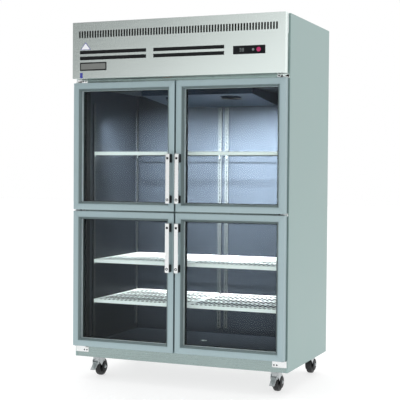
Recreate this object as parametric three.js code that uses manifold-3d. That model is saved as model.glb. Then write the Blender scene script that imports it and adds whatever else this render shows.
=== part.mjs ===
// A two-section reach-in refrigerator with four half-height glass doors, standing on casters.
// Millimetres, +Z up. The origin is on the floor under the middle of the cabinet; the doors face -Y.
import * as THREE from "three";
import { mergeVertices } from "three/addons/utils/BufferGeometryUtils.js";
import Module from "manifold-3d";

const wasm = await Module();
wasm.setup();

// ---------------------------------------------------------------- driving dimensions
const WIDTH = 1260;
const HEIGHT = 2000;
const BODY_DEPTH = 740;
const FRONT_REACH = 90; // cabinet face to the front of the door handles
const BODY_BOTTOM = 125; // top of the casters
const WALL = 60; // insulated wall, skin to liner
const SKIN = 1.5; // sheet steel
const GAP = 0.3; // clearance left between pieces that touch

const HALF_WIDTH = WIDTH / 2;
const FACE_Y = FRONT_REACH - (BODY_DEPTH + FRONT_REACH) / 2;
const BACK_Y = FACE_Y + BODY_DEPTH;
const HANDLE_FRONT_Y = FACE_Y - FRONT_REACH;

// Storage compartment
const ROOM_X = HALF_WIDTH - WALL;
const FLOOR_Z = 196;
const CEILING_Z = 1641;
const ROOM_BACK_Y = BACK_Y - WALL - 2;
const LINER = 1.2;
const STANDARD_WIDTH = 22; // slotted shelf standards
const STANDARD_DEPTH = 7;
const STANDARD_BOTTOM = 230;
const STANDARD_TOP = 1560;
const STANDARD_FRONT_Y = FACE_Y + 95;
const STANDARD_REAR_Y = ROOM_BACK_Y - 32;
const CENTRE_STANDARD_X = 22;

// Front frame round the four openings
const FRAME_THICK = 24;
const SIDE_RETURN = 12; // side panel sheet folded across the face
const HEADER_TOP = 1687;
const OPENING_INNER_X = 36;
const OPENING_OUTER_X = 566;
const MACHINE_DECK_Z = 1688;

// Doors
const DOOR_INNER_X = 4;
const DOOR_OUTER_X = 622;
const DOOR_PROFILE = 45;
const DOOR_THICK = 42;
const GASKET_THICK = 8;
const GASKET_INSET = 8;
const GASKET_WIDTH = 20;
const DOOR_BACK_Y = FACE_Y - GASKET_THICK;
const DOOR_FRONT_Y = DOOR_BACK_Y - DOOR_THICK;
const GLASS_LIP = 6; // how far the glass reaches into its groove
const GLASS_FRONT_Y = DOOR_FRONT_Y + 17;
const GLASS_THICK = 21;
const PIVOT_X = 612;
const PIVOT_Y = FACE_Y - 25;
const PIN_RADIUS = 4;
const PIN_HOLE_RADIUS = 4.6;
const PIN_LENGTH = 12;

// The two rows of doors, with the frame opening and the handle span of each
const ROWS = {
  upper: { bottom: 958.5, top: 1665, openBottom: 985, openTop: 1632, handle: [1003, 1271] },
  lower: { bottom: 191, top: 951.5, openBottom: 205, openTop: 925, handle: [630, 897] },
};
const SIDES = { left: -1, right: 1 };

// Handles
const HANDLE_X = 26.5;
const HANDLE_WIDTH = 24;
const HANDLE_BAR = 9;
const HANDLE_TOP_POST = 48;
const HANDLE_BOTTOM_POST = 43;

// Shelves
const SHELF_LEVELS = [445, 673, 985, 1285];
const SHELF_INNER_X = 8;
const SHELF_OUTER_X = 559;
const SHELF_FRONT_Y = FACE_Y + 70;
const SHELF_BACK_Y = ROOM_BACK_Y - 16;
const SHELF_THICK = 8;
const SHELF_FRONT_DROP = 20; // height of the front edge
const SHELF_SLOTS = 16;
const SHELF_RIM = 5;
const SHELF_BAR = 4;

// Hinged front panel of the machine compartment
const PANEL_X = 622;
const PANEL_FRONT_Y = FACE_Y - 62;
const PANEL_RETURN = 44;
const PANEL_BOTTOM = HEADER_TOP + 1;
const VENT_COUNT = 72;
const VENT_SPAN = [-582, 580];
const VENT_WIDTH = 9.6;
const VENT_Z = [HEIGHT - 87, HEIGHT - 49];
const LOUVRE_SPANS = [[-576, -169], [-126, 285]];
const LOUVRE_ROWS = [[HEIGHT - 176.5, HEIGHT - 157.5], [HEIGHT - 209.5, HEIGHT - 190]];

// Temperature controller in the front panel
const FASCIA_X = [336, 513];
const FASCIA_Z = [1790, 1834];
const FASCIA_PROUD = 3;
const CONTROLLER_DEPTH = 48;
const BEZEL_OVERLAP = 6;
const BUTTON_PROUD = 1.8;
const BUTTON_LENGTH = 4.3;
const POCKET_DEPTH = 4.6;
const POWER_BUTTON = { x: 478, radius: 12 };
const SET_BUTTON = { x: 447.5, radius: 6.5 };
const BUTTON_CLEARANCE = 0.5;

// Casters
const CASTER_FRONT_X = 535;
const CASTER_REAR_X = 552;
const CASTER_FRONT_Y = FACE_Y + 100;
const CASTER_REAR_Y = BACK_Y - 75;
const WHEEL_RADIUS = 50;
const WHEEL_HALF_WIDTH = 17;
const WHEEL_BORE = 5.6;
const AXLE_RADIUS = 5;
const TRAIL = 30; // how far the axle sits behind the swivel
const PAD_THICK = 4;
const PAD_HALF_X = 50;
const PAD_HALF_Y = 45;
const FORK_TOP = BODY_BOTTOM - PAD_THICK - GAP;

// Machine compartment and evaporator
const CONDENSER = { x: [-560, -180], y: [FACE_Y + 75, FACE_Y + 130], z: [1700, 1930] };
const CONDENSER_FAN = { radius: 98, hub: 26, blades: 5, depth: 24 };
const SHROUD = { collar: 26, strap: 4, strapHalf: 14, motorRadius: 36, motorLength: 62 };
const COMPRESSOR = { x: -480, y: 130, radius: 95, height: 200 };
const CONTROL_BOX = { x: [400, 600], y: [BACK_Y - 135, BACK_Y - 12], z: [1700, 1835] };
const GLAND = { radius: 13, bore: 6, x: 500, z: 1750 };
const BACK_SLOTS = { first: 1745, pitch: 28, height: 10, rows: 7, spans: [[-540, -220], [-160, 160]] };
// The evaporator hangs in a foamed plenum above the ceiling, closed from below by a sloping cover.
const PLENUM = { x: 300, y: [-30, 330], top: 1800, wall: 45 };
const COVER = { x: 338, y: [-90, 352], frontBottom: 1608, rearBottom: 1567 };
const EVAPORATOR = { x: 270, y: [62, 316], z: [1662, 1788], plate: 6, plateProud: 8 };
const EVAPORATOR_MOTOR = { radius: 24, length: 40, strapHalf: 9, strap: 3 };
const EVAPORATOR_FAN = { x: 170, y: 20, z: 1620, radius: 56, hub: 17, blades: 5, depth: 16 };

// ---------------------------------------------------------------- materials
function finish(colour, roughness, metalness) {
  return new THREE.MeshStandardMaterial({ color: colour, roughness, metalness });
}

const glass = finish("#c9d8da", 0.05, 0);
glass.transparent = true;
glass.opacity = 0.3;

const MATERIALS = {
  cabinetSteel: finish("#a3b3b0", 0.4, 0.9),
  panelSteel: finish("#dde4e2", 0.35, 0.9),
  plainSteel: finish("#8f9896", 0.5, 0.85),
  linerSteel: finish("#6f7c82", 0.35, 0.9),
  doorAluminium: finish("#a5b3b9", 0.45, 0.7),
  foam: finish("#d9c99a", 0.9, 0),
  glass,
  gasket: finish("#23262a", 0.8, 0),
  polished: finish("#e6e9ea", 0.12, 1),
  shelfWhite: finish("#e9eceb", 0.5, 0.1),
  zinc: finish("#b9c4c6", 0.4, 0.8),
  tyre: finish("#121516", 0.75, 0),
  blackPlastic: finish("#0d0f10", 0.4, 0),
  blackPaint: finish("#1b1d1e", 0.5, 0.2),
  coil: finish("#9aa4a6", 0.5, 0.8),
  redButton: finish("#b0305c", 0.35, 0),
  greyButton: finish("#8b9194", 0.5, 0),
};

// ---------------------------------------------------------------- solids
function toSolid(geometry) {
  const bare = geometry.index ? geometry.toNonIndexed() : geometry.clone();
  bare.deleteAttribute("normal");
  bare.deleteAttribute("uv");
  const merged = mergeVertices(bare, 1e-4);
  return new wasm.Manifold(
    new wasm.Mesh({
      numProp: 3,
      vertProperties: merged.attributes.position.array,
      triVerts: new Uint32Array(merged.index.array),
    }),
  );
}

function toGeometry(solid) {
  const mesh = solid.getMesh();
  const geometry = new THREE.BufferGeometry();
  geometry.setAttribute("position", new THREE.BufferAttribute(mesh.vertProperties, 3));
  geometry.setIndex(new THREE.BufferAttribute(mesh.triVerts, 1));
  const flat = geometry.toNonIndexed();
  flat.computeVertexNormals();
  return flat;
}

function join(...geometries) {
  return toGeometry(geometries.map(toSolid).reduce((sum, solid) => sum.add(solid)));
}

function cut(geometry, ...tools) {
  const whole = toSolid(geometry);
  return toGeometry(tools.map(toSolid).reduce((left, tool) => left.subtract(tool), whole));
}

// A box between two coordinates on each axis, given in either order.
function block([xa, xb], [ya, yb], [za, zb]) {
  const geometry = new THREE.BoxGeometry(Math.abs(xb - xa), Math.abs(yb - ya), Math.abs(zb - za));
  return geometry.translate((xa + xb) / 2, (ya + yb) / 2, (za + zb) / 2);
}

// A round bar between two coordinates along one axis, centred on the other two.
function bar(axis, radius, [from, to], centre, sides = 20) {
  const geometry = new THREE.CylinderGeometry(radius, radius, Math.abs(to - from), sides);
  if (axis === "x") geometry.rotateZ(-Math.PI / 2);
  if (axis === "z") geometry.rotateX(Math.PI / 2);
  const at = { x: centre[0], y: centre[1], z: centre[2] };
  at[axis] = (from + to) / 2;
  return geometry.translate(at.x, at.y, at.z);
}

// A closed ring or wheel turned about the X axis from [radius, x] points.
function turnedAboutX(profile, sides) {
  const points = profile.map(([radius, along]) => new THREE.Vector2(radius, along));
  return new THREE.LatheGeometry(points, sides).rotateZ(-Math.PI / 2);
}

// An outline of [y, z] points extruded from one x to another.
function slab(outline, [from, to]) {
  const shape = new THREE.Shape(outline.map(([y, z]) => new THREE.Vector2(y, z)));
  const geometry = new THREE.ExtrudeGeometry(shape, { depth: to - from, bevelEnabled: false });
  geometry.rotateX(Math.PI / 2);
  geometry.rotateZ(Math.PI / 2);
  return geometry.translate(from, 0, 0);
}

function ordered([a, b]) {
  return [Math.min(a, b), Math.max(a, b)];
}

// A span made longer at both ends.
function grow([a, b], by) {
  return [Math.min(a, b) - by, Math.max(a, b) + by];
}

function bothSides(side, from, to) {
  return [side * from, side * to];
}

const group = new THREE.Group();

function add(name, geometry, material) {
  const mesh = new THREE.Mesh(geometry, MATERIALS[material]);
  mesh.name = name;
  group.add(mesh);
  return mesh;
}

// ---------------------------------------------------------------- cabinet shell
function sidePanel(side) {
  const skinX = bothSides(side, HALF_WIDTH - SKIN, HALF_WIDTH);
  const skin = block(skinX, [FACE_Y, BACK_Y], [BODY_BOTTOM, HEIGHT]);
  const edge = bothSides(side, HALF_WIDTH - SIDE_RETURN, HALF_WIDTH);
  const faceReturn = block(edge, [FACE_Y, FACE_Y + SKIN], [BODY_BOTTOM, HEIGHT]);
  const topReturn = block(edge, [FACE_Y, BACK_Y - SKIN - GAP], [HEIGHT - SKIN, HEIGHT]);
  return join(skin, faceReturn, topReturn);
}

function backPanel() {
  const span = HALF_WIDTH - SKIN - GAP;
  const sheet = block([-span, span], [BACK_Y - SKIN, BACK_Y], [BODY_BOTTOM, HEIGHT]);
  const through = grow([BACK_Y - SKIN, BACK_Y], 5);
  const holes = [bar("y", GLAND.radius + 2, through, [GLAND.x, 0, GLAND.z], 24)];
  for (let row = 0; row < BACK_SLOTS.rows; row += 1) {
    const z = BACK_SLOTS.first + row * BACK_SLOTS.pitch;
    for (const spanX of BACK_SLOTS.spans) holes.push(block(spanX, through, [z, z + BACK_SLOTS.height]));
  }
  return cut(sheet, ...holes);
}

function basePanel() {
  const span = HALF_WIDTH - SKIN - GAP;
  const sheetFront = FACE_Y + FRAME_THICK + GAP;
  const sheetY = [sheetFront, BACK_Y - SKIN - GAP];
  const sheet = block([-span, span], sheetY, [BODY_BOTTOM, BODY_BOTTOM + SKIN]);
  const padZ = [BODY_BOTTOM - PAD_THICK, BODY_BOTTOM + SKIN / 2];
  const pads = casterPlaces().map(({ x, y }) =>
    block(grow([x, x], PAD_HALF_X), grow([y, y], PAD_HALF_Y), padZ),
  );
  return join(sheet, ...pads);
}

function foamInsulation() {
  const outside = HALF_WIDTH - SKIN - GAP;
  const front = FACE_Y + FRAME_THICK + GAP;
  const back = BACK_Y - SKIN - GAP;
  const massZ = [BODY_BOTTOM + SKIN + GAP, MACHINE_DECK_Z];
  const mass = block([-outside, outside], [front, back], massZ);
  const reach = LINER + GAP;
  const room = block(
    [-ROOM_X - reach, ROOM_X + reach],
    [front - 10, ROOM_BACK_Y + reach],
    [FLOOR_Z - reach, CEILING_Z + reach],
  );
  const { x, y, top, wall } = PLENUM;
  const plenum = block([-x - wall, x + wall], grow(y, wall - 5), [MACHINE_DECK_Z - 5, top + wall]);
  const cavity = block([-x, x], y, [CEILING_Z - 5, top]);
  return cut(join(mass, plenum), room, cavity);
}

function innerLiner() {
  const front = FACE_Y + FRAME_THICK + GAP;
  const outer = block(
    [-ROOM_X - LINER, ROOM_X + LINER],
    [front, ROOM_BACK_Y + LINER],
    [FLOOR_Z - LINER, CEILING_Z + LINER],
  );
  const room = block([-ROOM_X, ROOM_X], [front - 10, ROOM_BACK_Y], [FLOOR_Z, CEILING_Z]);
  const plenumMouth = block([-PLENUM.x, PLENUM.x], PLENUM.y, [CEILING_Z - 5, CEILING_Z + 5]);
  const standardZ = [STANDARD_BOTTOM, STANDARD_TOP];
  const halfWidth = STANDARD_WIDTH / 2;
  const standards = [];
  for (const side of Object.values(SIDES)) {
    for (const y of [STANDARD_FRONT_Y, STANDARD_REAR_Y]) {
      const depth = bothSides(side, ROOM_X - STANDARD_DEPTH, ROOM_X + LINER / 2);
      standards.push(block(depth, [y - halfWidth, y + halfWidth], standardZ));
    }
    const x = side * CENTRE_STANDARD_X;
    const depth = [ROOM_BACK_Y - STANDARD_DEPTH, ROOM_BACK_Y + LINER / 2];
    standards.push(block([x - halfWidth, x + halfWidth], depth, standardZ));
  }
  return join(cut(outer, room, plenumMouth), ...standards);
}

// One front frame: base rail, header, side stiles, centre post and cross rail, with the front
// standards of the two middle shelf edges on the back of its centre post.
function faceFrame() {
  const outside = HALF_WIDTH - SIDE_RETURN - GAP;
  const rear = FACE_Y + FRAME_THICK;
  const plate = block([-outside, outside], [FACE_Y, rear], [BODY_BOTTOM, HEADER_TOP]);
  const openings = [];
  const standards = [];
  for (const side of Object.values(SIDES)) {
    for (const row of Object.values(ROWS)) {
      const opening = bothSides(side, OPENING_INNER_X, OPENING_OUTER_X);
      openings.push(block(opening, grow([FACE_Y, rear], 5), [row.openBottom, row.openTop]));
    }
    const x = side * CENTRE_STANDARD_X;
    const spanX = [x - STANDARD_WIDTH / 2, x + STANDARD_WIDTH / 2];
    standards.push(block(spanX, [rear - 1, rear + STANDARD_DEPTH], [STANDARD_BOTTOM, STANDARD_TOP]));
  }
  return join(cut(plate, ...openings), ...standards);
}

add("left_side_panel", sidePanel(SIDES.left), "cabinetSteel");
add("right_side_panel", sidePanel(SIDES.right), "cabinetSteel");
add("back_panel", backPanel(), "plainSteel");
add("base_panel", basePanel(), "plainSteel");
add("foam_insulation", foamInsulation(), "foam");
add("inner_liner", innerLiner(), "linerSteel");
add("face_frame", faceFrame(), "cabinetSteel");

// ---------------------------------------------------------------- shelves
// A wire shelf: a rim, deeper along its front edge, with a bar between each pair of slots that runs
// from front to back.
function shelf(side, level) {
  const thickness = [level - SHELF_THICK, level];
  const spanX = bothSides(side, SHELF_INNER_X, SHELF_OUTER_X);
  const plate = block(spanX, [SHELF_FRONT_Y, SHELF_BACK_Y], thickness);
  const frontY = [SHELF_FRONT_Y, SHELF_FRONT_Y + SHELF_RIM];
  const frontEdge = block(spanX, frontY, [level - SHELF_FRONT_DROP, level]);
  const pitch = (SHELF_OUTER_X - SHELF_INNER_X - 2 * SHELF_RIM + SHELF_BAR) / SHELF_SLOTS;
  const slots = [];
  for (let slot = 0; slot < SHELF_SLOTS; slot += 1) {
    const near = SHELF_INNER_X + SHELF_RIM + slot * pitch;
    const slotX = bothSides(side, near, near + pitch - SHELF_BAR);
    const slotY = [SHELF_FRONT_Y + SHELF_RIM, SHELF_BACK_Y - SHELF_RIM];
    slots.push(block(slotX, slotY, grow(thickness, 2)));
  }
  return join(cut(plate, ...slots), frontEdge);
}

for (const [sideName, side] of Object.entries(SIDES)) {
  SHELF_LEVELS.forEach((level, index) => {
    add(`${sideName}_shelf_${index + 1}`, shelf(side, level), "shelfWhite");
  });
}

// ---------------------------------------------------------------- hinges
const HINGE_PLATE = { thick: 3, outer: 626, topInner: 560, centreInner: 568, bottomInner: 546 };
const HINGE_ARM = 4;
const HINGE_NOSE = 10;

// A plate screwed to the cabinet face, an arm that reaches out over or under the door's edge, and
// pins on the door's pivot line.
function hinge(side, plateInner, plateZ, armZ, pins) {
  const plateY = [FACE_Y - GAP - HINGE_PLATE.thick, FACE_Y - GAP];
  const plate = block(bothSides(side, plateInner, HINGE_PLATE.outer), plateY, plateZ);
  const armX = bothSides(side, PIVOT_X - 16, PIVOT_X + HINGE_NOSE);
  const arm = block(armX, [PIVOT_Y, plateY[1] - 1], armZ);
  const nose = bar("z", HINGE_NOSE, armZ, [side * PIVOT_X, PIVOT_Y, 0]);
  const pinBars = pins.map((pinZ) => bar("z", PIN_RADIUS, pinZ, [side * PIVOT_X, PIVOT_Y, 0], 16));
  return join(plate, arm, nose, ...pinBars);
}

const { upper, lower } = ROWS;
const topArm = [upper.top + 1.5, upper.top + 1.5 + HINGE_ARM];
const middle = (upper.bottom + lower.top) / 2;
const middleArm = [middle - HINGE_ARM / 2, middle + HINGE_ARM / 2];
const bottomArm = [lower.bottom - 1.5 - HINGE_ARM, lower.bottom - 1.5];
const topPins = [[upper.top - PIN_LENGTH, topArm[0] + 1]];
const middlePins = [[lower.top - PIN_LENGTH, upper.bottom + PIN_LENGTH]];
const bottomPins = [[bottomArm[1] - 1, lower.bottom + PIN_LENGTH]];
const topPlateZ = [upper.top + GAP, HEADER_TOP - 1];
const middlePlateZ = grow([middle, middle], 9);
const bottomPlateZ = [lower.bottom - 39, lower.bottom - 3];

for (const [sideName, side] of Object.entries(SIDES)) {
  const top = hinge(side, HINGE_PLATE.topInner, topPlateZ, topArm, topPins);
  const centre = hinge(side, HINGE_PLATE.centreInner, middlePlateZ, middleArm, middlePins);
  const bottom = hinge(side, HINGE_PLATE.bottomInner, bottomPlateZ, bottomArm, bottomPins);
  add(`${sideName}_top_hinge`, top, "polished");
  add(`${sideName}_centre_hinge`, centre, "polished");
  add(`${sideName}_bottom_hinge`, bottom, "polished");
}

// ---------------------------------------------------------------- doors
function doorWindow(side, row) {
  return {
    x: bothSides(side, DOOR_INNER_X + DOOR_PROFILE, DOOR_OUTER_X - DOOR_PROFILE),
    z: [row.bottom + DOOR_PROFILE, row.top - DOOR_PROFILE],
  };
}

function doorFrame(side, row) {
  const leafX = bothSides(side, DOOR_INNER_X, DOOR_OUTER_X);
  const leaf = block(leafX, [DOOR_FRONT_Y, DOOR_BACK_Y], [row.bottom, row.top]);
  const { x, z } = doorWindow(side, row);
  const light = block(x, grow([DOOR_FRONT_Y, DOOR_BACK_Y], 5), z);
  const grooveY = grow([GLASS_FRONT_Y, GLASS_FRONT_Y + GLASS_THICK], GAP);
  const groove = block(grow(x, GLASS_LIP + GAP), grooveY, grow(z, GLASS_LIP + GAP));
  const holes = [row.bottom, row.top].map((edge) => {
    const depth = grow([edge, edge], PIN_LENGTH + 1);
    return bar("z", PIN_HOLE_RADIUS, depth, [side * PIVOT_X, PIVOT_Y, 0], 16);
  });
  return cut(leaf, light, groove, ...holes);
}

function doorGlass(side, row) {
  const { x, z } = doorWindow(side, row);
  return block(grow(x, GLASS_LIP), [GLASS_FRONT_Y, GLASS_FRONT_Y + GLASS_THICK], grow(z, GLASS_LIP));
}

function doorGasket(side, row) {
  const depth = [DOOR_BACK_Y + GAP, FACE_Y - GAP];
  const outerX = bothSides(side, DOOR_INNER_X + GASKET_INSET, DOOR_OUTER_X - GASKET_INSET);
  const outerZ = [row.bottom + GASKET_INSET, row.top - GASKET_INSET];
  const hole = block(grow(outerX, -GASKET_WIDTH), grow(depth, 5), grow(outerZ, -GASKET_WIDTH));
  return cut(block(outerX, depth, outerZ), hole);
}

// A flat polished bar standing off the door on a post at each end.
function doorHandle(side, row) {
  const spanX = grow([side * HANDLE_X, side * HANDLE_X], HANDLE_WIDTH / 2);
  const [bottom, top] = row.handle;
  const grip = block(spanX, [HANDLE_FRONT_Y, HANDLE_FRONT_Y + HANDLE_BAR], [bottom, top]);
  const postY = [HANDLE_FRONT_Y + 1, DOOR_FRONT_Y - GAP];
  const topPost = block(spanX, postY, [top - HANDLE_TOP_POST, top]);
  const bottomPost = block(spanX, postY, [bottom, bottom + HANDLE_BOTTOM_POST]);
  return join(grip, topPost, bottomPost);
}

for (const [rowName, row] of Object.entries(ROWS)) {
  for (const [sideName, side] of Object.entries(SIDES)) {
    const door = `${rowName}_${sideName}`;
    add(`${door}_door_frame`, doorFrame(side, row), "doorAluminium");
    add(`${door}_door_glass`, doorGlass(side, row), "glass");
    add(`${door}_door_gasket`, doorGasket(side, row), "gasket");
    add(`${door}_door_handle`, doorHandle(side, row), "polished");
  }
}

// ---------------------------------------------------------------- front panel and controller
// A folded tray that hangs on pivots at its top corners, with an air slot row, two pairs of long
// louvres and a cut-out for the controller.
function frontPanel() {
  const trayY = [PANEL_FRONT_Y, PANEL_FRONT_Y + PANEL_RETURN];
  const tray = block([-PANEL_X, PANEL_X], trayY, [PANEL_BOTTOM, HEIGHT]);
  const hollow = block(
    [-PANEL_X + SKIN, PANEL_X - SKIN],
    [PANEL_FRONT_Y + SKIN, PANEL_FRONT_Y + PANEL_RETURN + 5],
    [PANEL_BOTTOM + SKIN, HEIGHT - SKIN],
  );
  const through = [PANEL_FRONT_Y - 5, PANEL_FRONT_Y + 5];
  const holes = [];
  const pitch = (VENT_SPAN[1] - VENT_SPAN[0] - VENT_WIDTH) / (VENT_COUNT - 1);
  for (let vent = 0; vent < VENT_COUNT; vent += 1) {
    const x = VENT_SPAN[0] + vent * pitch;
    holes.push(block([x, x + VENT_WIDTH], through, VENT_Z));
  }
  for (const spanX of LOUVRE_SPANS) {
    for (const spanZ of LOUVRE_ROWS) holes.push(block(spanX, through, spanZ));
  }
  const inset = GAP - BEZEL_OVERLAP;
  holes.push(block(grow(FASCIA_X, inset), through, grow(FASCIA_Z, inset)));
  return cut(tray, hollow, ...holes);
}

const BUTTON_Z = (FASCIA_Z[0] + FASCIA_Z[1]) / 2;
const FASCIA_FRONT_Y = PANEL_FRONT_Y - FASCIA_PROUD;

function controllerBody() {
  const fascia = block(FASCIA_X, [FASCIA_FRONT_Y, PANEL_FRONT_Y - GAP], FASCIA_Z);
  const caseDepth = [PANEL_FRONT_Y - 1, PANEL_FRONT_Y + CONTROLLER_DEPTH];
  const casing = block(grow(FASCIA_X, -BEZEL_OVERLAP), caseDepth, grow(FASCIA_Z, -BEZEL_OVERLAP));
  const pocketY = [FASCIA_FRONT_Y - 5, FASCIA_FRONT_Y + POCKET_DEPTH];
  const pockets = [POWER_BUTTON, SET_BUTTON].map(({ x, radius }) =>
    bar("y", radius + BUTTON_CLEARANCE, pocketY, [x, 0, BUTTON_Z], 24),
  );
  return cut(join(fascia, casing), ...pockets);
}

function pushButton({ x, radius }) {
  const front = FASCIA_FRONT_Y - BUTTON_PROUD;
  return bar("y", radius, [front, front + BUTTON_LENGTH], [x, 0, BUTTON_Z], 24);
}

add("front_panel", frontPanel(), "panelSteel");
add("controller", controllerBody(), "blackPlastic");
add("power_button", pushButton(POWER_BUTTON), "redButton");
add("set_button", pushButton(SET_BUTTON), "greyButton");

// ---------------------------------------------------------------- casters
function casterPlaces() {
  const places = [];
  for (const [sideName, side] of Object.entries(SIDES)) {
    places.push({ name: `front_${sideName}`, x: side * CASTER_FRONT_X, y: CASTER_FRONT_Y, brake: true });
    places.push({ name: `rear_${sideName}`, x: side * CASTER_REAR_X, y: CASTER_REAR_Y, brake: false });
  }
  return places;
}

const HEAD_RADIUS = 27;
const LEG_INNER = 19;
const LEG_OUTER = 22;
const LUG_INNER = 16;
const AXLE_END = LEG_OUTER + 5;
const CROWN_BOTTOM = 104;
const CROWN_TOP = 111;
const WEB_FRONT = -27;
const WEB_BOTTOM = 84;
const PEDAL_PIVOT = [-35, 80]; // y and z, seen from the swivel axis and the floor

// Fork: swivel head, crown, two raked legs, front web and the wheel's axle, about the swivel axis.
function casterFork(brake) {
  const head = bar("z", HEAD_RADIUS, [CROWN_TOP - 1, FORK_TOP], [0, 0, 0], 24);
  const across = [-LEG_OUTER, LEG_OUTER];
  const crown = block(across, [WEB_FRONT, HEAD_RADIUS], [CROWN_BOTTOM, CROWN_TOP]);
  const web = block(across, [WEB_FRONT, WEB_FRONT + 3], [WEB_BOTTOM, CROWN_TOP]);
  const outline = [
    [WEB_FRONT, CROWN_TOP],
    [WEB_FRONT, WEB_BOTTOM],
    [TRAIL - 11, WHEEL_RADIUS - 8],
    [TRAIL - 5, WHEEL_RADIUS - 13],
    [TRAIL + 5, WHEEL_RADIUS - 13],
    [TRAIL + 12, WHEEL_RADIUS - 6],
    [TRAIL + 13, WHEEL_RADIUS + 4],
    [HEAD_RADIUS, CROWN_TOP],
  ];
  const legs = Object.values(SIDES).map((side) =>
    slab(outline, ordered(bothSides(side, LEG_INNER, LEG_OUTER))),
  );
  const axle = bar("x", AXLE_RADIUS, [-AXLE_END, AXLE_END], [0, TRAIL, WHEEL_RADIUS], 16);
  const pieces = [head, crown, web, ...legs, axle];
  if (brake) {
    const [pivotY, pivotZ] = PEDAL_PIVOT;
    for (const side of Object.values(SIDES)) {
      const lugX = bothSides(side, LUG_INNER, LEG_INNER);
      pieces.push(block(lugX, [pivotY - 6, WEB_FRONT + 1], [pivotZ + 4, pivotZ + 18]));
      pieces.push(block(lugX, [pivotY - 6, pivotY + 6], [pivotZ - 6, pivotZ + 6]));
    }
    return cut(join(...pieces), bar("x", 3.6, [-30, 30], [0, pivotY, pivotZ], 16));
  }
  return join(...pieces);
}

function casterWheel() {
  const rim = WHEEL_HALF_WIDTH - 2;
  const profile = [
    [WHEEL_BORE, -WHEEL_HALF_WIDTH],
    [14, -WHEEL_HALF_WIDTH],
    [15, -rim + 3],
    [36, -rim + 3],
    [38, -rim],
    [46, -rim],
    [WHEEL_RADIUS, -rim + 6],
    [WHEEL_RADIUS, rim - 6],
    [46, rim],
    [38, rim],
    [36, rim - 3],
    [15, rim - 3],
    [14, WHEEL_HALF_WIDTH],
    [WHEEL_BORE, WHEEL_HALF_WIDTH],
    [WHEEL_BORE, -WHEEL_HALF_WIDTH],
  ];
  return turnedAboutX(profile, 20);
}

// Pedal: a barrel on a thin pin between the fork's lugs, and a tread plate that reaches forward.
function brakePedal() {
  const [pivotY, pivotZ] = PEDAL_PIVOT;
  const barrel = bar("x", 6, [-15.5, 15.5], [0, pivotY, pivotZ], 16);
  const pin = bar("x", 3, [-20, 20], [0, pivotY, pivotZ], 12);
  const tread = slab(
    [
      [pivotY - 3, pivotZ + 5],
      [pivotY - 20, pivotZ - 14],
      [pivotY - 40, pivotZ - 31],
      [pivotY - 41, pivotZ - 35],
      [pivotY - 36, pivotZ - 34],
      [pivotY - 16, pivotZ - 18],
      [pivotY + 2, pivotZ - 5],
    ],
    [-14, 14],
  );
  return join(barrel, pin, tread);
}

for (const { name, x, y, brake } of casterPlaces()) {
  add(`${name}_caster_fork`, casterFork(brake), "zinc").position.set(x, y, 0);
  add(`${name}_caster_wheel`, casterWheel(), "tyre").position.set(x, y + TRAIL, WHEEL_RADIUS);
  if (brake) add(`${name}_brake_pedal`, brakePedal(), "zinc").position.set(x, y, 0);
}

// ---------------------------------------------------------------- fans
// A hub with flat blades pitched about their own arms, turning about the Y axis.
function fan({ radius, hub, blades, depth }) {
  const pieces = [bar("y", hub, [-depth / 2, depth / 2], [0, 0, 0], 20)];
  for (let blade = 0; blade < blades; blade += 1) {
    const length = radius - hub + 4;
    const plate = new THREE.BoxGeometry(length, 2, depth * 1.25);
    plate.rotateX((58 * Math.PI) / 180);
    plate.translate(hub - 4 + length / 2, 0, 0);
    plate.rotateY((blade * 2 * Math.PI) / blades);
    pieces.push(plate);
  }
  return join(...pieces);
}

// ---------------------------------------------------------------- condensing unit
const middleOf = ([from, to]) => (from + to) / 2;
const condenserCentre = [middleOf(CONDENSER.x), 0, middleOf(CONDENSER.z)];
const shroudY = [CONDENSER.y[1] + 4, CONDENSER.y[1] + 7];
const condenserFanY = shroudY[1] + 14;

function condenserCoil() {
  const core = block(grow(CONDENSER.x, -8), grow(CONDENSER.y, -3), grow(CONDENSER.z, -6));
  const endPlates = CONDENSER.x.map((x, index) =>
    block([x, x + (index ? -9 : 9)], CONDENSER.y, [MACHINE_DECK_Z + 3, CONDENSER.z[1]]),
  );
  return join(core, ...endPlates);
}

// Fan shroud: a plate with a round inlet and its collar, and the motor on a strap behind the fan.
function condenserShroud() {
  const inlet = CONDENSER_FAN.radius + 6;
  const plate = block(CONDENSER.x, shroudY, [MACHINE_DECK_Z + 3, CONDENSER.z[1]]);
  const collarY = [shroudY[0], shroudY[1] + SHROUD.collar];
  const collar = bar("y", inlet + 3, collarY, condenserCentre, 32);
  const hole = bar("y", inlet, grow(collarY, 5), condenserCentre, 32);
  const strapY = [condenserFanY + 18, condenserFanY + 18 + SHROUD.strap];
  const strapX = grow([condenserCentre[0], condenserCentre[0]], SHROUD.strapHalf);
  const strap = block(strapX, strapY, CONDENSER.z);
  const feet = CONDENSER.z.map((z, index) =>
    block(strapX, [shroudY[1] - 1, strapY[1]], [z, z + (index ? -SHROUD.strap : SHROUD.strap)]),
  );
  const motorY = [strapY[0], strapY[0] + SHROUD.motorLength];
  const motor = bar("y", SHROUD.motorRadius, motorY, condenserCentre, 24);
  return join(cut(join(plate, collar), hole), strap, ...feet, motor);
}

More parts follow.
